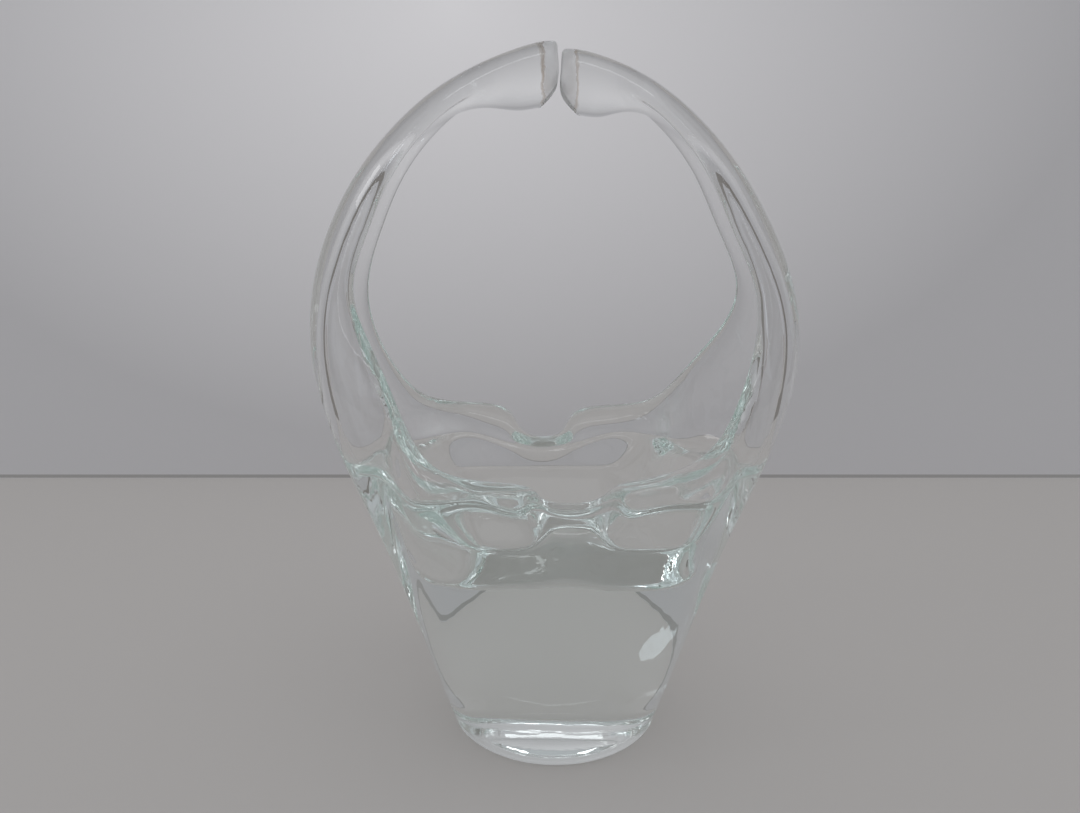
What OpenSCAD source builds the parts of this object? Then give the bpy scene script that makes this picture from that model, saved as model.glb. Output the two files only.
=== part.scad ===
// Glass basket: one piece of blown clear glass.
// A heavy foot and a solid lower body flare up into a shallow bowl.
// A notch is pressed into the rim at the front and at the back.
// The two sides of the rim are pulled up into arms that bend over the bowl and almost meet in two knobs.
// Every point of the cage below lies on the glass; the skin is a smooth surface drawn through all of them.
// Right is +X, the back is +Y, up is +Z, and the origin is the middle of the foot's resting face.

/* [Foot] */
// Radius of the foot where it leaves the table
foot_r = 38.5; // [34:0.5:43]
// Height of the rounded edge of the foot
foot_round = 3; // [2:0.5:5]

/* [Bowl] */
// Height of the four shoulders of the rim beside the notches
shoulder_h = 108; // [100:1:118]
// Half the outside width of the mouth, towards the arms
mouth_half_w = 77; // [70:1:84]
// Half the outside depth of the mouth, towards the notches
mouth_half_d = 57; // [52:1:62]
// How late the wall flares towards the arms (1 is a straight cone)
flare = 1.12; // [1:0.02:1.4]
// How early the wall reaches its full depth (2 is a plain arc)
swell = 1.8; // [1.4:0.1:2.4]
// Thickness of the rim at the roots of the arms
lip = 5; // [4:0.2:6]
// Thickness of the rim's heavy roll on the shoulders beside the notches
roll = 13.5; // [11:0.5:15]

/* [Hollow of the bowl] */
// Height of the hollow's floor above the table; the body is solid below it
hollow_h = 62.5; // [58:0.5:67]
// Height of the bend where the steep sides of the hollow turn into its sloping floor
bend_h = 83; // [80:0.5:86]
// Half the width of the hollow at that bend, towards the arms
hollow_half_w = 36; // [32:0.5:40]
// Half the depth of the hollow at that bend, towards the notches
hollow_half_d = 36; // [33:0.5:38]
// How far the notches push the hollow's sides in below them
hollow_pinch = 0.4; // [0:0.2:2]
// How far the hollow's plan is skewed: shift to the left for each step towards the back
hollow_skew = 0.2; // [0:0.02:0.3]

/* [Notches] */
// How far the outer edge of a notch drops below the shoulders
notch_drop = 12.5; // [8:0.5:16]
// How much higher a notch's inner edge stands than its outer one
notch_rise = 5.5; // [2:0.5:7]
// How far the notches are pressed in towards the middle
notch_press = 2; // [0:0.5:5]
// How far the front notch stands to the right and the back one to the left
notch_shift = 4; // [0:0.5:6]
// Half the width of a notch's bottom
notch_half = 9; // [7:0.5:11]
// How far the notch's sides lean out from its bottom to its shoulders
notch_side = 8.5; // [7:0.5:12]

/* [Arms] */
// Height of the tops of the knobs above the table
handle_top = 243; // [225:1:262]
// Half the width across the arms at their widest
handle_half_w = 85.7; // [82:0.5:92]
// Height at which the arms are widest
widest_h = 146; // [138:1:154]
// How pointed the arch of the arms is (2 is an ellipse)
arch_power = 1.72; // [1.6:0.02:2.2]
// How far the arms draw in from their widest place down to their roots
root_draw = 5.3; // [3:0.3:8]
// How far the top of the handle leans to the left
lean = 2; // [0:0.5:4]
// Height of the middle of the arms' roots
root_h = 106; // [100:1:112]
// How far the arms' edges rise above the shoulders at the root
root_rise = 13; // [8:1:17]
// Twist of the rim: two opposite corners sweep up early and gently, the other two late and tightly
rim_twist = 3; // [0:0.5:5]
// Half the width of an arm between its edges at the root
root_half = 32; // [28:1:36]
// Half the width of the arms near the top
arm_half = 12; // [10:0.5:14]
// Thickness of the arms' glass at the bottom of their channel
arm_wall = 6; // [5:0.5:8]
// Depth of the channelled section halfway up
arm_depth = 12.3; // [10.5:0.3:14.4]

/* [Knobs] */
// Length of the swollen end of each arm
knob_len = 19; // [16:1:23]
// Height of a knob's end
knob_high = 20.5; // [17:0.5:23]
// Width of a knob from front to back
knob_wide = 19; // [16:1:22]
// How far the lower edges of the knobs' ends stand back from the gap
knob_slant = 5; // [0:0.5:8]
// How much lower the right knob stands than the left one
knob_step = 2.4; // [0:0.3:4.5]
// Hairline gap between the two knobs
knob_gap = 0.6; // [0.4:0.1:2]
// How far the gap stands to the right of the foot's middle
gap_x = 1; // [-1:0.5:3]

/* [Hidden] */
cols = 20;             // columns of the cage round the bowl, five to a quarter
step = 360 / cols;     // angle between two columns at the foot
heel_r = 1.025 * foot_r; // radius of the body just above the foot's rounded edge
rounds = 2;            // times the cage is divided into finer faces
fit_rounds = 3;        // times the cage is corrected so that the skin meets its points
root_angle = 28;       // share of the arch below its widest place, as degrees of an ellipse

// Smooth skin over a cage: each face is divided round its middle and every point is averaged.
function ones(list) = [for (i = list) 1];
function mean(list) = ones(list) * list / len(list);

// Corners of all faces: start, next point, face, twin corner across the edge, edge number,
// and the corners that leave each point.
function links(faces, n) =
    let (
        start = [for (f = faces) for (v = f) v],
        stop = [for (f = faces) for (j = [0 : len(f) - 1]) f[(j + 1) % len(f)]],
        owner = [for (i = [0 : len(faces) - 1]) for (v = faces[i]) i],
        m = len(start),
        key = [for (c = [0 : m - 1]) start[c] * n + stop[c]],
        back = [for (c = [0 : m - 1]) stop[c] * n + start[c]],
        twin = search(back, key),
        rank = [for (c = 0, r = 0; c < m; r = r + (c < twin[c] ? 1 : 0), c = c + 1) r],
        edge = [for (c = [0 : m - 1]) rank[min(c, twin[c])]],
        leaving = search([for (v = [0 : n - 1]) v], start, 0)
    )
    [start, stop, owner, twin, edge, leaving];

// Middles of the faces, points of the edges, and moved corner points of one division.
function middles(pts, faces) = [for (f = faces) mean([for (v = f) pts[v]])];
function edge_points(pts, mid, k) =
    [for (c = [0 : len(k[0]) - 1])
        if (c < k[3][c])
            (pts[k[0][c]] + pts[k[1][c]] + mid[k[2][c]] + mid[k[2][k[3][c]]]) / 4];
function moved(pts, mid, k) =
    [for (v = [0 : len(pts) - 1])
        let (
            around = k[5][v],
            n = len(around),
            f = mean([for (c = around) mid[k[2][c]]]),
            e = mean([for (c = around) pts[k[1][c]]])
        )
        (f + e + (n - 2) * pts[v]) / n];

// Where each cage point ends up on the finished skin.
function settled(pts, faces, k) =
    let (mid = middles(pts, faces), ep = edge_points(pts, mid, k), mv = moved(pts, mid, k))
    [for (v = [0 : len(pts) - 1])
        let (
            around = k[5][v],
            n = len(around),
            e = ones(around) * [for (c = around) ep[k[4][c]]],
            f = ones(around) * [for (c = around) mid[k[2][c]]]
        )
        (n * n * mv[v] + 4 * e + f) / (n * (n + 5))];

// Cage points moved out so that the skin passes through the wanted points; those on the table stay on it.
function fitted(want, pts, faces, k, times) =
    times == 0 ? pts :
    let (
        now = settled(pts, faces, k),
        next = [for (v = [0 : len(pts) - 1])
            let (p = pts[v] + want[v] - now[v])
            want[v][2] == 0 ? [p[0], p[1], 0] : p]
    )
    fitted(want, next, faces, k, times - 1);

function divided(pts, faces, k, times) =
    let (
        n = len(pts),
        mid = middles(pts, faces),
        ep = edge_points(pts, mid, k),
        first = n + len(ep),
        new_pts = concat(moved(pts, mid, k), ep, mid),
        m = len(k[0]),
        new_faces = [for (i = 0, c0 = 0; i < len(faces); c0 = c0 + len(faces[i]), i = i + 1)
            each [for (j = [0 : len(faces[i]) - 1])
                let (l = len(faces[i]))
                [faces[i][j], n + k[4][c0 + j], first + i, n + k[4][c0 + (j + l - 1) % l]]]]
    )
    times == 1 ? [new_pts, new_faces] :
    divided(new_pts, new_faces, links(new_faces, len(new_pts)), times - 1);

// The bowl. Column k stands at u = k + 0.5.
// The arms are at u = 0 and 10, the back notch is at 5 and the front one at 15.
function quarter(u) = u <= 5 ? u : u <= 10 ? 10 - u : u <= 15 ? u - 10 : 20 - u;
function side_x(u) = u < 5 || u > 15 ? 1 : -1;
function side_y(u) = u < 10 ? 1 : -1;
function mix(a, b, t) = a + (b - a) * t;

// Half width and half depth of the outside of the bowl at height z.
function wall_x(z) = mix(heel_r, mouth_half_w, pow(z / shoulder_h, flare));
function wall_y(z) = mix(heel_r, mouth_half_d, 1 - pow(max(0, 1 - z / (0.84 * shoulder_h)), swell));

// Height of the rim at a column, from the arm (0.5) to the notch (4.5).
function rim_z(q) =
    q == 0.5 ? root_h :
    q == 1.5 ? shoulder_h + root_rise :
    q == 2.5 ? shoulder_h + 0.18 * root_rise :
    q == 3.5 ? shoulder_h - 1 : shoulder_h - notch_drop;

// Plan of the rim at a column: how far out and how far back it stands.
function rim_x(q) =
    q == 0.5 ? 0.975 * mouth_half_w :
    q == 1.5 ? 0.745 * mouth_half_w :
    q == 2.5 ? 0.53 * mouth_half_w :
    q == 3.5 ? notch_half + notch_side : notch_half;
function rim_y(q) =
    q == 0.5 ? 0.36 * root_half :
    q == 1.5 ? root_half :
    q == 2.5 ? 0.92 * mouth_half_d : mouth_half_d;

// Thickness of the rim at a column: a thin lip at the arms, a heavy roll on the shoulders and in the notches.
function rim_depth(q) = q < 2 ? lip : q == 2.5 ? mix(lip, roll, 0.7) : q == 3.5 ? roll : 1.1 * roll;

// One ring: height on the shoulders, share of the rim's shape (0 round, 1 rim),
// and whether it is the outer edge (0) or the inner edge (1) of the rim.
function bowl_ring(z, share, inner) =
    [for (k = [0 : cols - 1])
        let (
            u = k + 0.5,
            q = quarter(u),
            s = share * share,
            corner = q == 1.5 ? side_x(u) * side_y(u) * s * rim_twist : 0,
            zz = z + (rim_z(q) - shoulder_h) * s + 1.2 * corner,
            slide = q > 3 ? notch_shift * s : 0,
            x = mix(wall_x(zz) * cos(step * q), rim_x(q) * wall_x(zz) / wall_x(rim_z(q)), s) - 0.9 * corner,
            y = mix(wall_y(zz) * sin(step * q), rim_y(q) * wall_y(zz) / wall_y(rim_z(q)), s),
            lean_in = [x / pow(wall_x(zz), 2), y / pow(wall_y(zz), 2)],
            in = inner * rim_depth(q) * lean_in / norm(lean_in),
            press = q > 4 ? notch_press * pow(share, 8) : 0,
            rise = q > 4 ? inner * notch_rise : 0
        )
        [side_x(u) * (x - in[0]) - side_y(u) * slide, side_y(u) * (y - in[1] - press), zz + rise]];

function flat_ring(r, z) =
    [for (k = [0 : cols - 1])
        let (a = step * (k + 0.5))
        [r * cos(a), r * sin(a), z]];

// Plan of the hollow at its bend, as shares of its half width and half depth: a rounded rectangle.
function well_x(q) = q == 0.5 ? 1 : q == 1.5 ? 0.97 : q == 2.5 ? 0.87 : q == 3.5 ? 0.57 : 0.19;
function well_y(q) = q == 0.5 ? 0.22 : q == 1.5 ? 0.6 : q == 2.5 ? 0.92 : 1;

// One ring of the hollow: half width, half depth, height,
// how square it is (0 at the mouth, 1 from the bend down) and how far it sags under the notches.
function hollow_ring(half_w, half_d, z, square, sag) =
    [for (k = [0 : cols - 1])
        let (
            u = k + 0.5,
            q = quarter(u),
            x = half_w * mix(cos(step * q), well_x(q), square),
            y = half_d * well_y(q) - (q > 4 ? hollow_pinch : 0),
            skew = hollow_skew * mix(0.5, 1, square)
        )
        [side_x(u) * x - skew * side_y(u) * y, side_y(u) * y, q > 4 ? z - sag : z]];

side_h = shoulder_h - bend_h;
floor_h = bend_h - hollow_h;
rings = [
    flat_ring(0.72 * foot_r, 0),
    flat_ring(0.975 * foot_r, 0),
    flat_ring(heel_r, foot_round),
    bowl_ring(0.13 * shoulder_h, 0.1, 0),
    bowl_ring(0.42 * shoulder_h, 0.4, 0),
    bowl_ring(0.74 * shoulder_h, 0.8, 0),
    bowl_ring(shoulder_h - 0.45 * lip, 1, 0),
    bowl_ring(shoulder_h - 0.45 * lip, 1, 1),
    hollow_ring(1.61 * hollow_half_w, 1.175 * hollow_half_d, bend_h + 0.64 * side_h, 0, 0.9 * notch_rise),
    hollow_ring(1.3 * hollow_half_w, 1.133 * hollow_half_d, bend_h + 0.3 * side_h, 0.5, 0.6 * notch_rise),
    hollow_ring(hollow_half_w, hollow_half_d, bend_h, 1, 0),
    hollow_ring(0.9 * hollow_half_w, 0.54 * hollow_half_d, hollow_h + 0.41 * floor_h, 1, 0),
    hollow_ring(0.79 * hollow_half_w, 0.22 * hollow_half_d, hollow_h + 0.07 * floor_h, 1, 0)
];
last = len(rings) - 1;
outer_rim = 6;
inner_rim = 7;

// The arms. Outside line of the arch in the plane of the two arms: t is 0 at the root and 1 above the gap.
function arch(t) =
    let (a = mix(-root_angle, 90, t), b = a / root_angle)
    a < 0 ? [handle_half_w - root_draw * b * b, widest_h + b * (widest_h - root_h)] :
    let (rise = handle_top - widest_h)
    [handle_half_w * pow(cos(a), 2 / arch_power), widest_h + rise * pow(sin(a), 2 / arch_power)];
function along(t) = let (d = arch(t + 0.01) - arch(t - 0.01)) d / norm(d);

// One section of an arm: position, half width, depth of the edges, thickness, how far the edges run ahead.
function section(t, half, depth, thick, ahead, tight = 0) =
    let (
        p = arch(t),
        d = along(t),
        inward = [-d[1], d[0]],
        at = function(y, deep, on = 0) let (s = p + inward * deep + d * on) [s[0], y, s[1]]
    )
    [
        at(-half, depth - tight, ahead - tight), at(-half * 0.5, depth * 0.14),
        at(half * 0.5, depth * 0.14), at(half, depth + tight, ahead + tight),
        at(half * 0.7, 1.08 * depth + tight, ahead + tight), at(half * 0.35, thick + depth * 0.14),
        at(-half * 0.35, thick + depth * 0.14), at(-half * 0.7, 1.08 * depth - tight, ahead - tight)
    ];

// One section of a knob: x from the gap, height, width, how far its top lies below the handle's,
// and how far its lower edge stands back.
function knob(x, high, wide, below, slant) =
    let (top = handle_top - below)
    [
        [x, -wide / 2, top - 0.36 * high], [x, -wide / 4, top - 0.06 * high],
        [x, wide / 4, top - 0.06 * high], [x, wide / 2, top - 0.36 * high],
        [x + 0.15 * slant, wide / 2, top - 0.64 * high], [x + slant, wide / 4, top - 0.94 * high],
        [x + slant, -wide / 4, top - 0.94 * high], [x + 0.15 * slant, -wide / 2, top - 0.64 * high]
    ];

// Where the round edge of a knob's end lies, so that the bulging face inside it just leaves the gap.
face_x = knob_gap / 2 + 0.085 * knob_len - 0.13 * knob_slant;
arm = [
    section(0.17, 1.66 * arm_half, 1.49 * arm_depth, arm_wall, 0.65 * arm_depth, 0.5 * rim_twist),
    section(0.36, 1.25 * arm_half, 1.08 * arm_depth, arm_wall, 0.25 * arm_depth),
    section(0.50, 1.12 * arm_half, arm_depth, arm_wall, 0),
    section(0.62, 1.04 * arm_half, 0.77 * arm_depth, arm_wall, 0),
    section(0.76, 0.87 * arm_half, 0.65 * arm_depth, 1.5 * arm_wall, 0),
    knob(0.6 * knob_len, knob_high, knob_wide, 0.075 * knob_high, 0.3 * knob_slant),
    knob(face_x, 0.78 * knob_high, 0.85 * knob_wide, 0.12 * knob_high, knob_slant)
];
arm_stops = len(arm);

// Right arm with its knob a little lower, left arm turned half round; both lean to the left towards the top.
function placed(p, sx) =
    let (
        s = min(1, max(0, 2.4 * (p[2] - widest_h) / (handle_top - widest_h))),
        g = min(1, max(0, (2.1 * knob_len - p[0]) / (1.6 * knob_len)))
    )
    [
        sx * p[0] - lean * s * (3 - 2 * s) * s + (gap_x + lean) * g,
        sx * p[1],
        p[2] - (sx == 1 ? knob_step * g : 0)
    ];

bowl_pts = [for (r = rings) each r];
arm_pts = [for (sx = [1, -1]) for (s = arm) for (p = s) placed(p, sx)];
cage_pts = concat(bowl_pts, arm_pts);

function on_ring(r, k) = r * cols + (k + cols) % cols;
function loop(sx, s) =
    let (c = sx == 1 ? 0 : cols / 2, first = len(bowl_pts) + (sx == 1 ? 0 : arm_stops * 8) + (s - 1) * 8)
    s > 0 ? [for (j = [0 : 7]) first + j] :
    concat(
        [for (k = [-2 : 1]) on_ring(outer_rim, c + k)],
        [for (k = [1 : -1 : -2]) on_ring(inner_rim, c + k)]
    );
function is_arm(k) = (k + 2) % (cols / 2) < 3;

bowl_faces = [for (r = [0 : last - 1]) for (k = [0 : cols - 1])
    if (r != outer_rim || !is_arm(k))
        [on_ring(r, k), on_ring(r, k + 1), on_ring(r + 1, k + 1), on_ring(r + 1, k)]];
arm_faces = [for (sx = [1, -1]) for (s = [0 : arm_stops - 1])
    let (a = loop(sx, s), b = loop(sx, s + 1))
    for (j = [0 : 7]) [a[j], a[(j + 1) % 8], b[(j + 1) % 8], b[j]]];
cap_faces = [for (sx = [1, -1])
    let (e = loop(sx, arm_stops))
    each [[e[0], e[1], e[6], e[7]], [e[1], e[2], e[5], e[6]], [e[2], e[3], e[4], e[5]]]];
disc_faces = [
    [for (k = [cols - 1 : -1 : 0]) on_ring(0, k)],
    [for (k = [0 : cols - 1]) on_ring(last, k)]
];
cage_faces = concat(bowl_faces, arm_faces, cap_faces, disc_faces);

cage_links = links(cage_faces, len(cage_pts));
cage_fit = fitted(cage_pts, cage_pts, cage_faces, cage_links, fit_rounds);
skin = divided(cage_fit, cage_faces, cage_links, rounds);
skin_faces = [for (f = skin[1]) each [[f[2], f[1], f[0]], [f[3], f[2], f[0]]]];

module basket() {
    color([0.82, 0.92, 0.9, 0.45])
    polyhedron(points = skin[0], faces = skin_faces, convexity = 8);
}

basket();
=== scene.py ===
# %% [markdown]
# # A blown-glass basket
# The basket is one lump of clear glass. A glassmaker opens a small bowl in it, presses a notch
# into the front and the back of the rim, and pulls the two sides up into arms that nearly meet.
# This lesson builds that single piece as one smooth skin over a coarse cage of points, and then
# gives it clear glass, soft light and the camera of the photograph.
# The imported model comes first, because it fixes where the piece stands and how large it is.

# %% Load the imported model
import math
import bpy
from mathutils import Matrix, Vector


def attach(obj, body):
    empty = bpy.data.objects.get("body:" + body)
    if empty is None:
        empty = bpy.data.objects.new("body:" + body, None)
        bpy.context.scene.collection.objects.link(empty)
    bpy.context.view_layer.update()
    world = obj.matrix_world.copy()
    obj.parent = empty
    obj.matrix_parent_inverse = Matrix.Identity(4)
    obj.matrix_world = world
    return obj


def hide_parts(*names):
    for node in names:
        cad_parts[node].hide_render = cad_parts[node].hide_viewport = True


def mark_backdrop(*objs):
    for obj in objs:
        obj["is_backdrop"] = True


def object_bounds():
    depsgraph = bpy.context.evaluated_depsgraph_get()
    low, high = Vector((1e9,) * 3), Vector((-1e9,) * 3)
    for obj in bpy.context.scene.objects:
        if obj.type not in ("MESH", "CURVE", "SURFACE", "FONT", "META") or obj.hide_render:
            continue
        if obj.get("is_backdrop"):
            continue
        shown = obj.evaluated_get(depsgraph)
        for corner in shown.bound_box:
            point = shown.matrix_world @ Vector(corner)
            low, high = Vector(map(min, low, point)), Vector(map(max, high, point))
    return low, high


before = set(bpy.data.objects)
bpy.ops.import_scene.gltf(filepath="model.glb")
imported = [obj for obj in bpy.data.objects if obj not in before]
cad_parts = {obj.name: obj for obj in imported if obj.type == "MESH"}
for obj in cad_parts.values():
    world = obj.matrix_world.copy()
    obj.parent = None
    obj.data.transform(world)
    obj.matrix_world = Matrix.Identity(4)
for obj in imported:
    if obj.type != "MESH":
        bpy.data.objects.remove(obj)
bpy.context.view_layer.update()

# %% [markdown]
# ## Sizes
# Sizes are in millimetres, as a glassmaker's callipers read them, and carry the names that the
# construction uses. One number for one thing means that a later change stays in one place.
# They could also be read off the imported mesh, but then the form could no longer be varied.

# %% Sizes of the basket
MM = 0.001
foot_r, foot_round = 38.5, 3                    # resting face and its rounded edge
pontil_r, pontil_deep = 14.5, 1.6               # shallow dish where the iron was broken off
shoulder_h, mouth_half_w, mouth_half_d = 108, 77, 57
flare, swell = 1.12, 1.8                        # how the side and the front open upwards
lip, roll = 5, 13.5                             # rim thickness at the arms and at the notches
hollow_h, bend_h = 62.5, 83                     # lowest point of the hollow, and its bend
hollow_half_w, hollow_half_d = 36, 36
hollow_pinch, hollow_skew = 0.4, 0.2            # waist in the middle, and slant seen from above
notch_drop, notch_rise, notch_press = 12.5, 5.5, 2
notch_shift, notch_half, notch_side = 4, 9, 8.5
handle_top, handle_half_w, widest_h, arch_power = 243, 85.7, 146, 1.72
root_draw, lean = 5.3, 2                        # arm's root stands in, and both arms lean
root_h, root_rise, root_half, rim_twist = 106, 13, 32, 3
arm_half, arm_wall, arm_depth = 12, 6, 12.3
knob_len, knob_high, knob_wide, knob_slant, knob_step = 19, 20.5, 19, 5, 2.4
knob_gap, gap_x = 0.6, 1                        # air between the knobs, and where it lies
COLS = 20
STEP = 360 / COLS
heel_r = 1.025 * foot_r
print("columns of points round the bowl:", COLS)

# %% [markdown]
# ## Plan of the rim
# The foot is round, but the rim is not: it has shoulders, notches and the roots of the arms.
# A lathe, or a Screw modifier, can't make that. Twenty columns of points can. The bowl is nearly
# the same in every quarter, so a column is known by how far it stands from the nearest arm.

# %% Helpers for round things, and the walls from foot to rim
def mix(a, b, t):
    return a + (b - a) * t


def cosd(a):
    return math.cos(math.radians(a))


def sind(a):
    return math.sin(math.radians(a))


def quarter(u):
    """0 at an arm, 5 at a notch, in every quarter of the bowl."""
    return u if u <= 5 else 10 - u if u <= 10 else u - 10 if u <= 15 else 20 - u


def side_x(u):
    return 1 if u < 5 or u > 15 else -1


def side_y(u):
    return 1 if u < 10 else -1


def wall_x(z):
    """Half width of the bowl at a height."""
    return mix(heel_r, mouth_half_w, (z / shoulder_h) ** flare)


def wall_y(z):
    """Half depth of the bowl at a height: it swells early and then stands upright."""
    return mix(heel_r, mouth_half_d, 1 - max(0, 1 - z / (0.84 * shoulder_h)) ** swell)


print("half width and half depth halfway up, mm:",
      round(wall_x(shoulder_h / 2), 1), round(wall_y(shoulder_h / 2), 1))

# %% [markdown]
# Five numbers, for one quarter, then give each measure of the rim and of the hollow. The key 0.5
# is the column beside the middle of an arm and 4.5 the one beside the middle of a notch. What
# makes the quarters differ, a slight twist and a sideways shift of the notches, comes on top.

# %% Rim and hollow, from the middle of an arm to the middle of a notch
rim_z = {0.5: root_h, 1.5: shoulder_h + root_rise, 2.5: shoulder_h + 0.18 * root_rise,
         3.5: shoulder_h - 1, 4.5: shoulder_h - notch_drop}
rim_x = {0.5: 0.975 * mouth_half_w, 1.5: 0.745 * mouth_half_w, 2.5: 0.53 * mouth_half_w,
         3.5: notch_half + notch_side, 4.5: notch_half}
rim_y = {0.5: 0.36 * root_half, 1.5: root_half, 2.5: 0.92 * mouth_half_d,
         3.5: mouth_half_d, 4.5: mouth_half_d}
rim_depth = {0.5: lip, 1.5: lip, 2.5: mix(lip, roll, 0.7), 3.5: roll, 4.5: 1.1 * roll}
well_x = {0.5: 1, 1.5: 0.97, 2.5: 0.87, 3.5: 0.57, 4.5: 0.19}
well_y = {0.5: 0.22, 1.5: 0.6, 2.5: 0.92, 3.5: 1, 4.5: 1}
print("rim heights from arm to notch, mm:", [round(v, 1) for v in rim_z.values()])

# %% [markdown]
# ## Rings of the bowl
# Blown glass is all one wall, with no edge between outside and inside. The bowl could be a shell
# with a Solidify modifier, but its wall isn't even: the lower body is solid and the lip is thin.
# So one stack of rings goes up the outside, over the lip and down into the hollow. On the
# outside a ring is part plain circle and part plan of the rim, by a share of its own. In the
# hollow it goes in the same way from an oval at the mouth to a rounded rectangle further down.

# %% Three kinds of ring
def flat_ring(r, z):
    return [(r * cosd(STEP * (k + 0.5)), r * sind(STEP * (k + 0.5)), z) for k in range(COLS)]


def bowl_ring(z, share, inner):
    """Height on the shoulders, share of the rim's shape, outer edge (0) or inner edge (1)."""
    ring, s = [], share * share
    for k in range(COLS):
        u = k + 0.5
        q = quarter(u)
        corner = side_x(u) * side_y(u) * s * rim_twist if q == 1.5 else 0
        zz = z + (rim_z[q] - shoulder_h) * s + 1.2 * corner
        rim_place_x = rim_x[q] * wall_x(zz) / wall_x(rim_z[q])
        rim_place_y = rim_y[q] * wall_y(zz) / wall_y(rim_z[q])
        x = mix(wall_x(zz) * cosd(STEP * q), rim_place_x, s) - 0.9 * corner
        y = mix(wall_y(zz) * sind(STEP * q), rim_place_y, s)
        ix, iy = x / wall_x(zz) ** 2, y / wall_y(zz) ** 2
        depth = inner * rim_depth[q] / math.hypot(ix, iy)
        slide = notch_shift * s if q > 3 else 0
        press, rise = (notch_press * share ** 8, inner * notch_rise) if q > 4 else (0, 0)
        ring.append((side_x(u) * (x - depth * ix) - side_y(u) * slide,
                     side_y(u) * (y - depth * iy - press), zz + rise))
    return ring


def hollow_ring(wide, deep, z, square, sag):
    """Shares of the hollow's width and depth, height, how square, how far notches pull it down."""
    ring = []
    for k in range(COLS):
        u = k + 0.5
        q = quarter(u)
        x = wide * hollow_half_w * mix(cosd(STEP * q), well_x[q], square)
        y = deep * hollow_half_d * well_y[q] - (hollow_pinch if q > 4 else 0)
        skew = hollow_skew * mix(0.5, 1, square)
        ring.append((side_x(u) * x - skew * side_y(u) * y, side_y(u) * y,
                     z - (sag * notch_rise if q > 4 else 0)))
    return ring


print("points of one ring:", len(flat_ring(foot_r, 0)))

# %% Stack the rings from under the foot to the floor of the hollow
side_h, floor_h = shoulder_h - bend_h, bend_h - hollow_h
rings = [
    flat_ring(0.55 * pontil_r, pontil_deep),
    flat_ring(0.93 * pontil_r, 0.3 * pontil_deep),
    flat_ring(pontil_r + 0.6, 0),
    flat_ring(0.72 * foot_r, 0),
    flat_ring(0.975 * foot_r, 0),
    flat_ring(heel_r, foot_round),
    bowl_ring(0.13 * shoulder_h, 0.1, 0),
    bowl_ring(0.42 * shoulder_h, 0.4, 0),
    bowl_ring(0.74 * shoulder_h, 0.8, 0),
    bowl_ring(shoulder_h - 0.45 * lip, 1, 0),
    bowl_ring(shoulder_h - 0.45 * lip, 1, 1),
    hollow_ring(1.68, 1.15, bend_h + 0.67 * side_h, 0, 0.9),
    hollow_ring(1.42, 1.095, bend_h + 0.53 * side_h, 0.25, 0.9),
    hollow_ring(1.1, 1.082, bend_h + 0.13 * side_h, 0.8, 0.1),
    hollow_ring(0.98, 0.97, bend_h - 0.4, 1, 0),
    hollow_ring(0.9, 0.54, hollow_h + 0.41 * floor_h, 1, 0),
    hollow_ring(0.79, 0.22, hollow_h + 0.07 * floor_h, 1, 0),
]
outer_rim, inner_rim, last = 9, 10, len(rings) - 1
print("rings of the bowl:", len(rings))

# %% [markdown]
# ## Arms
# Each arm is a channel of glass, pulled up out of the rim while it was soft. Its outside line
# is close to a quarter of an ellipse, a little more pointed. A curve with a bevel profile would
# keep one section all the way, but this one changes: it is wide and deep at the root and narrow
# towards the top. So sections of eight points stand across the line, each with its own size.

# %% Line of an arm and a section across it
root_angle = 28


def arch(t):
    """Outside line of the right arm, from below its root (0) to the top of the handle (1)."""
    a = mix(-root_angle, 90, t)
    if a < 0:
        b = a / root_angle
        return handle_half_w - root_draw * b * b, widest_h + b * (widest_h - root_h)
    return (handle_half_w * max(0, cosd(a)) ** (2 / arch_power),
            widest_h + (handle_top - widest_h) * sind(a) ** (2 / arch_power))


def section(t, wide, deep, thick, run=0, turn=0):
    """Place on the arch, shares of width, depth and wall, how far the edges run on and turn."""
    half, depth, wall = wide * arm_half, deep * arm_depth, thick * arm_wall
    ahead, tight = run * arm_depth, turn * rim_twist
    p, a, b = arch(t), arch(t - 0.01), arch(t + 0.01)
    dx, dz = b[0] - a[0], b[1] - a[1]
    n = math.hypot(dx, dz)
    dx, dz = dx / n, dz / n

    def at(y, inwards, on=0):
        return p[0] - dz * inwards + dx * on, y, p[1] + dx * inwards + dz * on

    return [at(-half, depth - tight, ahead - tight), at(-half * 0.5, depth * 0.14),
            at(half * 0.5, depth * 0.14), at(half, depth + tight, ahead + tight),
            at(half * 0.7, 1.08 * depth + tight, ahead + tight),
            at(half * 0.35, wall + depth * 0.14), at(-half * 0.35, wall + depth * 0.14),
            at(-half * 0.7, 1.08 * depth - tight, ahead - tight)]


channel = [section(0.17, 1.66, 1.49, 1, 0.65, 0.5), section(0.36, 1.25, 1.08, 1, 0.25),
           section(0.50, 1.12, 1, 1), section(0.62, 1.04, 0.77, 1),
           section(0.76, 0.87, 0.65, 1.5)]
print("sections of an arm's channel:", len(channel))

# %% [markdown]
# ## Knobs
# The channel closes near the top and swells into a knob. The end of a knob was pressed flat
# while soft, so it is a plain face with a tight round edge. A Bevel modifier would round every
# edge alike. On a smooth skin two sections close together make such an edge just where it is
# wanted, and a single one would leave a soft, egg-like end.

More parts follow.
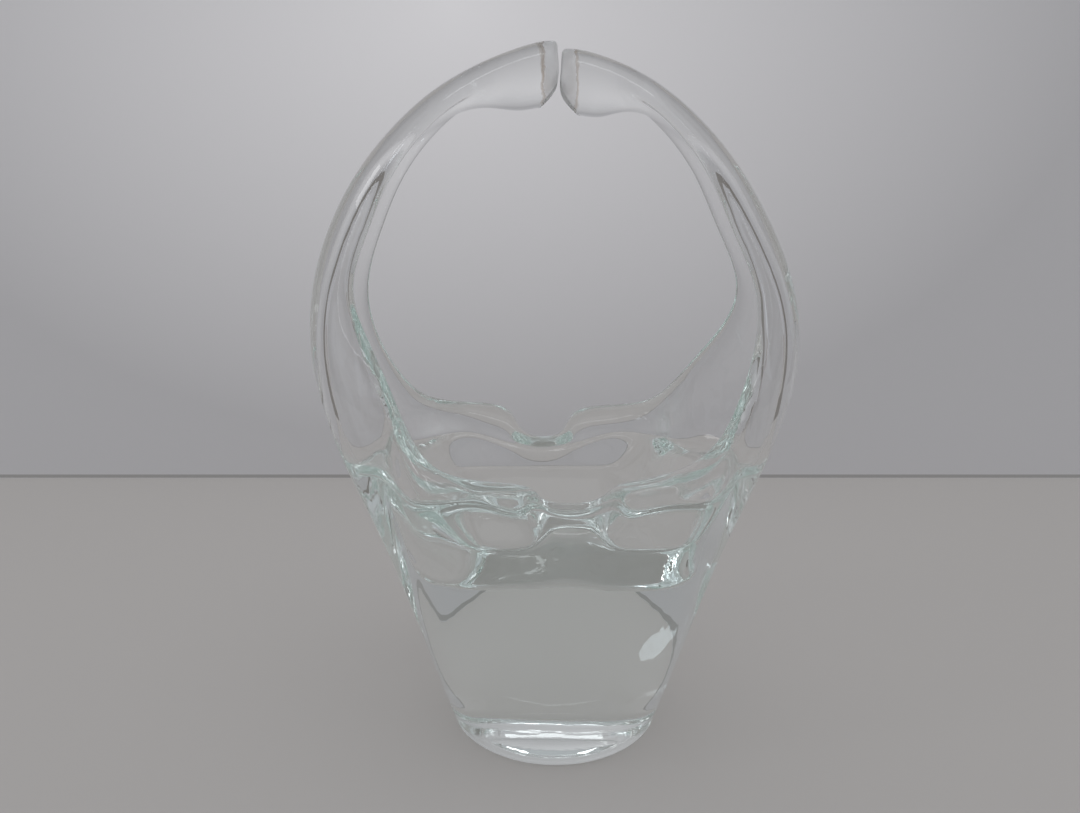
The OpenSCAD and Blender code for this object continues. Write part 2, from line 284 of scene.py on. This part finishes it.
# %% Sections of the knobs
def knob(x, high, wide, below, slant):
    """Distance from the gap, then shares: height, width, drop of its top, how far it slants."""
    rows = [(-0.5, 0.36, 0), (-0.25, 0.06, 0), (0.25, 0.06, 0), (0.5, 0.36, 0),
            (0.5, 0.68, 0.05), (0.25, 0.94, 1), (-0.25, 0.94, 1), (-0.5, 0.68, 0.05)]
    tall, top = high * knob_high, handle_top - below * knob_high
    return [(x + slant * knob_slant * back, across * (wide * knob_wide), top - down * tall)
            for across, down, back in rows]


face_x = knob_gap / 2 + 0.25
arm = channel + [
    knob(0.72 * knob_len, 0.98, 1, 0.11, 0.3),
    knob(face_x + 0.17 * knob_len, 1.03, 1, 0.005, 0.6),
    knob(face_x, 0.76, 0.82, 0.165, 0.9),
]
print("a knob's face stands off the middle of the gap by, mm:", face_x)

# %% [markdown]
# The left arm could be a mirrored copy, but hand-pulled arms are never that alike. It is the
# right one turned half round instead, and the right one ends a little lower. Both lean to the
# same side towards the top.

# %% Place of a point on the right or the left arm
def placed(p, side):
    s = min(1, max(0, 2.4 * (p[2] - widest_h) / (handle_top - widest_h)))
    g = min(1, max(0, (2.1 * knob_len - p[0]) / (1.6 * knob_len)))
    return (side * p[0] - lean * s * (3 - 2 * s) * s + (gap_x + lean) * g, side * p[1],
            p[2] - (knob_step * g if side == 1 else 0))


print("top of the right and the left knob, mm:",
      *(round(max(placed(p, side)[2] for p in arm[-1]), 1) for side in (1, -1)))

# %% [markdown]
# ## One cage
# The rings and the sections are joined by faces of four corners. Arms and bowl could be two
# meshes joined by a Boolean, but that leaves a seam, and the real basket is one glass. So the
# rim is left open at each arm, and the eight points round that opening are the arm's first
# section.

# %% Points and faces of the cage
bowl_pts = [p for ring in rings for p in ring]
arm_pts = [placed(p, side) for side in (1, -1) for sec in arm for p in sec]
cage_pts = bowl_pts + arm_pts


def on_ring(r, k):
    return r * COLS + k % COLS


def loop(side, s):
    """The eight points round section s of an arm; section 0 is the opening in the rim."""
    c = 0 if side == 1 else COLS // 2
    if s == 0:
        return ([on_ring(outer_rim, c + k) for k in (-2, -1, 0, 1)]
                + [on_ring(inner_rim, c + k) for k in (1, 0, -1, -2)])
    first = len(bowl_pts) + (0 if side == 1 else len(arm) * 8) + (s - 1) * 8
    return [first + j for j in range(8)]


cage_faces = [(on_ring(r, k), on_ring(r, k + 1), on_ring(r + 1, k + 1), on_ring(r + 1, k))
              for r in range(last) for k in range(COLS)
              if r != outer_rim or (k + 2) % (COLS // 2) >= 3]
for side in (1, -1):
    for s in range(len(arm)):
        a, b = loop(side, s), loop(side, s + 1)
        cage_faces += [(a[j], a[(j + 1) % 8], b[(j + 1) % 8], b[j]) for j in range(8)]
    e = loop(side, len(arm))
    cage_faces += [(e[0], e[1], e[6], e[7]), (e[1], e[2], e[5], e[6]), (e[2], e[3], e[4], e[5])]
cage_faces += [tuple(on_ring(0, k) for k in range(COLS - 1, -1, -1)),
               tuple(on_ring(last, k) for k in range(COLS))]
print("cage:", len(cage_pts), "points,", len(cage_faces), "faces")

# %% [markdown]
# ## A skin that meets its points
# A subdivided skin shrinks away from its cage, so the basket would come out smaller than it was
# measured. One could guess a larger cage. It is surer to correct it: find where each point would
# end up on the finished skin, move it on by what is missing, and do that a few times.
# Points on the table keep their height, so the foot stays flat.

# %% Where the points of a cage end up
def settled(pts):
    """Where each cage point ends up on the finished skin."""
    mid = [[sum(pts[v][i] for v in f) / len(f) for i in range(3)] for f in cage_faces]
    spans, fans = {}, [[] for _ in pts]
    for n, f in enumerate(cage_faces):
        for j, v in enumerate(f):
            w = f[(j + 1) % len(f)]
            spans.setdefault((min(v, w), max(v, w)), []).append(n)
            fans[v].append(n)
    edge_pts, edge_mid, ends = {}, {}, [[] for _ in pts]
    for (v, w), (m, n) in spans.items():
        edge_mid[v, w] = [(pts[v][i] + pts[w][i]) / 2 for i in range(3)]
        edge_pts[v, w] = [(pts[v][i] + pts[w][i] + mid[m][i] + mid[n][i]) / 4 for i in range(3)]
        ends[v].append((v, w))
        ends[w].append((v, w))
    out = []
    for v, p in enumerate(pts):
        n = len(fans[v])
        place = []
        for i in range(3):
            f = sum(mid[m][i] for m in fans[v])
            moved = (f / n + 2 * sum(edge_mid[e][i] for e in ends[v]) / n + (n - 3) * p[i]) / n
            near = sum(edge_pts[e][i] for e in ends[v])
            place.append((n * n * moved + 4 * near + f) / (n * (n + 5)))
        out.append(place)
    return out


# %% Correct the cage
fit = [list(p) for p in cage_pts]
for turn in range(4):
    now = settled(fit)
    miss = max(math.dist(a, b) for a, b in zip(now, cage_pts))
    print("turn", turn, "largest miss, mm:", round(miss, 3))
    fit = [[f[i] + w[i] - n[i] for i in range(3)] for f, w, n in zip(fit, cage_pts, now)]
    for f, w in zip(fit, cage_pts):
        if w[2] == 0:
            f[2] = 0

# %% [markdown]
# ## From cage to glass
# Fire polishing leaves glass with no hard edge and with slow, shallow waves. Modifiers could do
# it, one to divide and one to displace. A single node tree does both to the cage and keeps
# their sizes together as named inputs. Two helpers come first: one starts such a tree, and one
# adds a sum to any tree, here and later in the glass.

# %% Helpers for node trees
def new_tree(name, sizes):
    """An empty geometry tree with a mesh going through and one named input for each size."""
    tree = bpy.data.node_groups.new(name, "GeometryNodeTree")
    tree.interface.new_socket("Geometry", in_out="INPUT", socket_type="NodeSocketGeometry")
    for label, (kind, value) in sizes.items():
        socket = tree.interface.new_socket(label, in_out="INPUT", socket_type=kind)
        socket.default_value = value
    tree.interface.new_socket("Geometry", in_out="OUTPUT", socket_type="NodeSocketGeometry")
    return tree, tree.nodes.new("NodeGroupInput"), tree.nodes.new("NodeGroupOutput")


def math_node(tree, operation, a, b, clamp=False):
    """Two numbers or sockets put through one operation."""
    node = tree.nodes.new("ShaderNodeMath")
    node.operation = operation
    node.use_clamp = clamp
    for socket, value in zip(node.inputs, (a, b)):
        if hasattr(value, "is_linked"):
            tree.links.new(value, socket)
        else:
            socket.default_value = value
    return node.outputs[0]


polish, start, end = new_tree("fire polish", {
    "Rounds": ("NodeSocketInt", 3),
    "Wave height": ("NodeSocketFloat", 0.12 * MM),
    "Waves per metre": ("NodeSocketFloat", 28.0),
    "Flat foot height": ("NodeSocketFloat", 12 * MM)})
print("inputs of the tree:", [s.name for s in start.outputs if s.name])

# %% [markdown]
# The first half of the tree divides the cage into a smooth skin. Then it works out the waves: a
# smooth noise, times the wave height, fading out towards the foot, which stays flat.

# %% Divide the cage and work out the waves
divide = polish.nodes.new("GeometryNodeSubdivisionSurface")
polish.links.new(start.outputs["Geometry"], divide.inputs["Mesh"])
polish.links.new(start.outputs["Rounds"], divide.inputs["Level"])
place = polish.nodes.new("GeometryNodeInputPosition")
height = polish.nodes.new("ShaderNodeSeparateXYZ")
polish.links.new(place.outputs[0], height.inputs[0])
above = math_node(polish, "DIVIDE", height.outputs["Z"], start.outputs["Flat foot height"],
                  clamp=True)
noise = polish.nodes.new("ShaderNodeTexNoise")
noise.inputs["Detail"].default_value = 0.5
polish.links.new(place.outputs[0], noise.inputs["Vector"])
polish.links.new(start.outputs["Waves per metre"], noise.inputs["Scale"])
amount = math_node(polish, "MULTIPLY", noise.outputs[0], start.outputs["Wave height"])
amount = math_node(polish, "MULTIPLY", amount, above)
print("nodes in the first half:", len(polish.nodes))

# %% [markdown]
# The second half moves the skin along its normals. The waves only ever take glass away, so the
# piece never grows past its measured size. Then the skin is shaded smooth and set in glass.
# Realize Instances makes plain mesh of whatever arrives, which the export needs.

# %% Move the skin inwards and set the glass
glass = bpy.data.materials.new("clear_glass")
inward = math_node(polish, "MULTIPLY", amount, -1.0)
normal = polish.nodes.new("GeometryNodeInputNormal")
shift = polish.nodes.new("ShaderNodeVectorMath")
shift.operation = "SCALE"
polish.links.new(normal.outputs[0], shift.inputs[0])
polish.links.new(inward, shift.inputs["Scale"])
move = polish.nodes.new("GeometryNodeSetPosition")
polish.links.new(divide.outputs[0], move.inputs["Geometry"])
polish.links.new(shift.outputs[0], move.inputs["Offset"])
smooth = polish.nodes.new("GeometryNodeSetShadeSmooth")
polish.links.new(move.outputs[0], smooth.inputs[0])
real = polish.nodes.new("GeometryNodeRealizeInstances")
polish.links.new(smooth.outputs[0], real.inputs[0])
paint = polish.nodes.new("GeometryNodeSetMaterial")
paint.inputs["Material"].default_value = glass
polish.links.new(real.outputs[0], paint.inputs["Geometry"])
polish.links.new(paint.outputs[0], end.inputs[0])
print("nodes in the whole tree:", len(polish.nodes))

# %% [markdown]
# The tree could stay on the piece as a live modifier. But what is measured and rendered should
# be one and the same mesh, so the tree is run once, its result is kept as a plain mesh, and the
# cage is thrown away. An input of the modifier goes by the socket's identifier, and is set
# before the object is first evaluated.

# %% Run the tree on the cage
def set_input(modifier, label, value):
    for item in modifier.node_group.interface.items_tree:
        if item.item_type == "SOCKET" and item.in_out == "INPUT" and item.name == label:
            modifier[item.identifier] = value


def baked(obj, tree, name, **sizes):
    """The result of a tree on an object, as a plain mesh of its own."""
    modifier = obj.modifiers.new("tree", "NODES")
    modifier.node_group = tree
    for label, value in sizes.items():
        set_input(modifier, label.replace("_", " "), value)
    graph = bpy.context.evaluated_depsgraph_get()
    mesh = bpy.data.meshes.new_from_object(obj.evaluated_get(graph))
    obj.modifiers.remove(modifier)
    bpy.data.objects.remove(obj)
    piece = bpy.data.objects.new(name, mesh)
    bpy.context.collection.objects.link(piece)
    return piece


cage_mesh = bpy.data.meshes.new("cage")
cage_mesh.from_pydata([[v * MM for v in p] for p in fit], [], cage_faces)
cage_mesh.update()
cage = bpy.data.objects.new("cage", cage_mesh)
bpy.context.collection.objects.link(cage)
basket = baked(cage, polish, "glass_basket", Rounds=3)
skin = basket.data
print("glass basket:", len(skin.vertices), "points,", 2 * len(skin.polygons), "triangles")
zs = [v.co.z * 1000 for v in skin.vertices]
print("lowest and highest point, mm:", round(min(zs), 3), round(max(zs), 2))

# %% [markdown]
# ## Clear glass
# Clear glass has no colour of its own; the faint aqua comes from iron and shows only where light
# has gone through a lot of it. A tinted surface would colour the thin arms as much as the foot.
# So the surface stays pure white and fully clear, and the colour is an absorption inside the
# volume, which grows with the thickness by itself.

# %% Surface and depth of the glass
glass_ior, iron_tint, tint_per_metre = 1.5, (0.72, 0.93, 0.86, 1), 2.0
glass.use_nodes = True
nodes, links = glass.node_tree.nodes, glass.node_tree.links
surface = nodes["Principled BSDF"]
surface.inputs["Base Color"].default_value = (1, 1, 1, 1)
surface.inputs["Roughness"].default_value = 0.0
surface.inputs["IOR"].default_value = glass_ior
surface.inputs["Transmission Weight"].default_value = 1
tint = nodes.new("ShaderNodeVolumeAbsorption")
tint.inputs["Color"].default_value = iron_tint
tint.inputs["Density"].default_value = tint_per_metre
links.new(tint.outputs[0], nodes["Material Output"].inputs["Volume"])
print("index of the glass:", glass_ior, "absorption per metre:", tint_per_metre)

# %% [markdown]
# Pulling and turning leave fine lines that run up the glass. They are far too shallow to model,
# but they break up the reflections a little. A noise squeezed sideways and drawn out upwards
# looks like them, and goes into a very weak bump.

# %% Fine drawn lines
lines_across, lines_up, line_deep = 240, 7, 0.16 * MM
where = nodes.new("ShaderNodeTexCoord")
stretch = nodes.new("ShaderNodeMapping")
stretch.inputs["Scale"].default_value = (lines_across, lines_across, lines_up)
links.new(where.outputs["Object"], stretch.inputs["Vector"])
lines = nodes.new("ShaderNodeTexNoise")
lines.inputs["Scale"].default_value = 1.0
lines.inputs["Detail"].default_value = 1.0
links.new(stretch.outputs[0], lines.inputs["Vector"])
bump = nodes.new("ShaderNodeBump")
bump.inputs["Strength"].default_value = 0.35
bump.inputs["Distance"].default_value = line_deep
links.new(lines.outputs[0], bump.inputs["Height"])
links.new(bump.outputs[0], surface.inputs["Normal"])
print("lines are at most this deep, mm:", round(line_deep * 1000, 2))

# %% [markdown]
# ## Milky ends of the knobs
# The ends of the knobs were pressed flat while soft. They are a little milky there, and the
# clear glass begins again behind a wavy, faintly brownish line a few millimetres from the gap.
# They could be pieces of their own with a second material, but then the glass would have an
# inner wall. So one material changes along the knob: the distance from the gap, with a ripple
# added, says where the milk ends, and only above a height, so that the bowl stays clear.

# %% Where the glass is milky
milk_reach, milk_ripple, milk_blend = 4.5 * MM, 3 * MM, 1.2 * MM
milk_above, milk_fade = 0.2, 0.01
body = glass.node_tree
split = nodes.new("ShaderNodeSeparateXYZ")
links.new(where.outputs["Object"], split.inputs[0])
ripple = nodes.new("ShaderNodeTexNoise")
ripple.inputs["Scale"].default_value = 260
links.new(where.outputs["Object"], ripple.inputs["Vector"])
from_gap = math_node(body, "SUBTRACT", split.outputs["X"], gap_x * MM)
away = math_node(body, "ABSOLUTE", from_gap, 0)
wave = math_node(body, "MULTIPLY", ripple.outputs[0], milk_ripple)
inside = math_node(body, "SUBTRACT", math_node(body, "ADD", milk_reach, wave), away)
near = math_node(body, "DIVIDE", inside, milk_blend, clamp=True)
over = math_node(body, "SUBTRACT", split.outputs["Z"], milk_above)
high = math_node(body, "DIVIDE", over, milk_fade, clamp=True)
milk = math_node(body, "MULTIPLY", near, high)
print("milky ends reach back by, mm:", round(milk_reach * 1000, 1), "to",
      round((milk_reach + milk_ripple) * 1000, 1))

# %% [markdown]
# Milky glass lets less light through and scatters it. The brownish line lies where the milk is
# neither full nor gone, and that is just where milk times its opposite is largest.

# %% Milk and its brownish edge
less_clear = math_node(body, "MULTIPLY", milk, 0.45)
links.new(math_node(body, "SUBTRACT", 1.0, less_clear), surface.inputs["Transmission Weight"])
links.new(math_node(body, "MULTIPLY", milk, 0.3), surface.inputs["Roughness"])
rest = math_node(body, "SUBTRACT", 1.0, milk)
seam = math_node(body, "MULTIPLY", math_node(body, "MULTIPLY", milk, rest), 4.0)
smoke = nodes.new("ShaderNodeMix")
smoke.data_type = "RGBA"
clear_side, brown_side = smoke.inputs[6], smoke.inputs[7]
clear_side.default_value = (1, 1, 1, 1)
brown_side.default_value = (0.7, 0.63, 0.56, 1)
links.new(seam, smoke.inputs[0])
links.new(smoke.outputs[2], surface.inputs["Base Color"])
print("nodes in the glass:", len(nodes))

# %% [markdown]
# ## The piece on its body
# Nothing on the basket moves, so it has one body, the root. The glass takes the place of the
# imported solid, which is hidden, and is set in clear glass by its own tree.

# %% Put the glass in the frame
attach(basket, "root")
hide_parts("basket")
print("the glass stands for node basket and rides on the root")

# %% [markdown]
# ## Paper for the stage
# Everything round the basket is plain sheets: floor, wall and cards. A sheet is a single face,
# lying or standing, with a matt paint that also glows a little. The glow keeps its tone even,
# where lamps alone would leave pools of light that the glass would show.

# %% Sheets and their paint
def plain(name, colour, glow):
    mat = bpy.data.materials.new(name)
    mat.use_nodes = True
    card = mat.node_tree.nodes["Principled BSDF"]
    card.inputs["Base Color"].default_value = (*colour, 1)
    card.inputs["Roughness"].default_value = 0.9
    card.inputs["Emission Color"].default_value = (*colour, 1)
    card.inputs["Emission Strength"].default_value = glow
    return mat


def sheet_of(name, corners, mat):
    mesh = bpy.data.meshes.new(name)
    mesh.from_pydata(corners, [], [tuple(range(len(corners)))])
    obj = bpy.data.objects.new(name, mesh)
    bpy.context.collection.objects.link(obj)
    mesh.materials.append(mat)
    return obj


def lying(name, x0, x1, y0, y1, z, mat):
    return sheet_of(name, [(x0, y0, z), (x1, y0, z), (x1, y1, z), (x0, y1, z)], mat)


def upright(name, a, b, low, high, mat):
    """A standing sheet between two points of the floor plan."""
    return sheet_of(name, [(*a, low), (*b, low), (*b, high), (*a, high)], mat)


air, half_room, wall_top, back_y = 0.4 * MM, 1.5, 1.3, 0.285
floor = lying("floor", -half_room, half_room, -half_room, back_y, -air,
              plain("pale_floor", (0.37, 0.357, 0.346), 0.42))
print("film of air under the foot, mm:", air * 1000)

# %% [markdown]
# ## Floor and wall
# The basket stands on a plain pale floor in front of a plain wall. The floor lies a hair below
# the foot: a thin film of air is what makes the underside of a real foot shine like a mirror.
# The wall is brightest above and behind the basket. A lamp could do that, but it would also show
# in the glass, so the wall's own glow follows a round gradient.

# %% Paint of the wall
wall_dim, wall_bright = 0.27, 0.84
spot_middle, spot_reach = (-0.06, back_y, 0.315), (0.42, 0.42, 0.29)
wall_paint = plain("pale_wall", (0.46, 0.455, 0.465), wall_dim)
wall_nodes, wall_links = wall_paint.node_tree.nodes, wall_paint.node_tree.links
spot_place = wall_nodes.new("ShaderNodeTexCoord")
spot_size = wall_nodes.new("ShaderNodeMapping")
spot_size.vector_type = "TEXTURE"
spot_size.inputs["Location"].default_value = spot_middle
spot_size.inputs["Scale"].default_value = spot_reach
spot = wall_nodes.new("ShaderNodeTexGradient")
spot.gradient_type = "SPHERICAL"
glow = wall_nodes.new("ShaderNodeMapRange")
glow.inputs["To Min"].default_value = wall_dim
glow.inputs["To Max"].default_value = wall_bright
wall_links.new(spot_place.outputs["Object"], spot_size.inputs["Vector"])
wall_links.new(spot_size.outputs[0], spot.inputs["Vector"])
wall_links.new(spot.outputs["Fac"], glow.inputs["Value"])
wall_links.new(glow.outputs["Result"],
               wall_nodes["Principled BSDF"].inputs["Emission Strength"])
print("the wall glows from", wall_dim, "to", wall_bright)

# %% [markdown]
# The wall is painted on its front only, so that the basket can also be looked at from behind.
# A thin dark sheet where wall and floor meet is a painted shadow line, the shade in the fold. The
# glass bends it into some of the dark lines and angles that are seen in the bowl and the lower
# body.

# %% Wall and painted fold shadow
def see_through_from_behind(mat):
    tree = mat.node_tree
    side = tree.nodes.new("ShaderNodeNewGeometry")
    clear = tree.nodes.new("ShaderNodeBsdfTransparent")
    pick = tree.nodes.new("ShaderNodeMixShader")
    tree.links.new(side.outputs["Backfacing"], pick.inputs[0])
    tree.links.new(tree.nodes["Principled BSDF"].outputs[0], pick.inputs[1])
    tree.links.new(clear.outputs[0], pick.inputs[2])
    tree.links.new(pick.outputs[0], tree.nodes["Material Output"].inputs["Surface"])
    return mat


backdrop = upright("backdrop", (-half_room, back_y), (half_room, back_y), -air, wall_top,
                   see_through_from_behind(wall_paint))
# painted shadow: a low dark sheet just in front of the foot of the wall, where wall and floor meet
fold_y, fold_high = back_y - 0.0004, 0.0024
fold_shadow_paint = see_through_from_behind(plain("fold_shadow", (0.25, 0.245, 0.24), 0.4))
fold = upright("fold_shadow_line", (-half_room, fold_y), (half_room, fold_y), 0, fold_high, fold_shadow_paint)
print("wall stands behind the foot's middle by, mm:", back_y * 1000)

# %% [markdown]
# ## Cards beside the glass
# Clear glass in an even room is almost invisible. A row of grey cards on each side, out of the
# picture, draws the dark lines along the edges, because an edge bends the view far to the side.
# A small bright card high on the left gives the few bluish, window-like glints, and narrow
# bright strips beside and above the camera draw thin white lines on the arms and knobs.
# The cards show only through and in the glass, never to the camera itself or on the floor.

# %% Grey, window and strip cards
grey = plain("grey_card", (0.19, 0.178, 0.165), 0.4)
side_cards = [upright("side_card", (x, y), (x, y + 0.12), 0, 0.9, grey)
              for x in (-0.55, 0.55) for y in (-0.42, -0.12, 0.16)]
window = upright("window_card", (-0.8, -0.9), (-0.64, -0.93), 0.7, 0.9,
                 plain("window_light", (0.85, 0.93, 1.0), 4.0))
strip_light = plain("strip_light", (0.95, 0.97, 1.0), 2.6)
strips = [upright("strip_card", (x, -0.6), (x + 0.05, -0.62), 0.15, 1.1, strip_light)
          for x in (-0.8, 0.7)]
strips.append(lying("ceiling_card", -0.7, 0.7, -0.62, -0.5, 1.3, strip_light))
cards = (window, *side_cards, *strips)
for card in cards:
    card.visible_camera = card.visible_diffuse = card.visible_shadow = False
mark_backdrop(floor, backdrop, fold, *cards)
print("cards on the stage:", len(cards))

# %% [markdown]
# ## Light
# Glass shows what is round it. A bright, even room on all sides gives the pale look of the
# photograph. A wide, weak lamp above and a small one on the left add the soft highlights on the
# arms and the rim. The upper lamp isn't seen through the glass, or it would draw a hard white
# bar in the foot. Light goes through many walls of glass here, so it may bounce many times.

# %% Room and lamps
world = bpy.data.worlds.new("soft_room")
world.use_nodes = True
room = world.node_tree.nodes["Background"]
room.inputs["Color"].default_value = (0.93, 0.95, 1.0, 1)
room.inputs["Strength"].default_value = 0.47
scene = bpy.context.scene
scene.world = world


def lamp(name, place, turn, size, watts):
    light = bpy.data.lights.new(name, "AREA")
    light.energy, light.size = watts, size
    obj = bpy.data.objects.new(name, light)
    obj.location = place
    obj.rotation_euler = [math.radians(a) for a in turn]
    bpy.context.collection.objects.link(obj)
    return obj


top_lamp = lamp("lamp_above", (0.3, -0.4, 1.4), (18, 10, 0), 1.0, 1.4)
top_lamp.visible_transmission = False
left_lamp = lamp("lamp_left", (-1.3, -0.5, 0.9), (40, -55, 0), 0.3, 0.8)
scene.cycles.max_bounces = 80
scene.cycles.transmission_bounces = 64
scene.cycles.glossy_bounces = 32
scene.view_settings.view_transform = "Standard"
print("lamps, W:", top_lamp.data.energy, left_lamp.data.energy)

# %% [markdown]
# ## Camera
# The camera stands where the photograph was worked out to be taken from: about 30 cm in front of
# the middle, above the rim, and looking down a little. A tilt of 0 would look straight down, and
# 90 straight ahead. The photograph is 1080 pixels wide, and its lens was worked out to be 844 of
# those pixels long, which gives the lens in millimetres for a sensor of any width.

# %% Camera
frame_px, lens_px = 1080, 844
eye_place, tilt = (-0.00542, -0.296, 0.190), 76.7
eye = bpy.data.cameras.new("camera")
eye.sensor_width = 36
eye.lens = eye.sensor_width * lens_px / frame_px
camera = bpy.data.objects.new("camera", eye)
camera.location = eye_place
camera.rotation_euler = (math.radians(tilt), 0, 0)
bpy.context.collection.objects.link(camera)
scene.camera = camera
print("lens, mm:", round(eye.lens, 2))

# %% [markdown]
# ## Size of the glass
# The box round the visual piece is written down, in millimetres. The visual piece must stay
# inside the box of the imported solid.

# %% Box round the glass
low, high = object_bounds()
print("glass, mm:", [round(v * 1000, 2) for v in (*low, *high)])
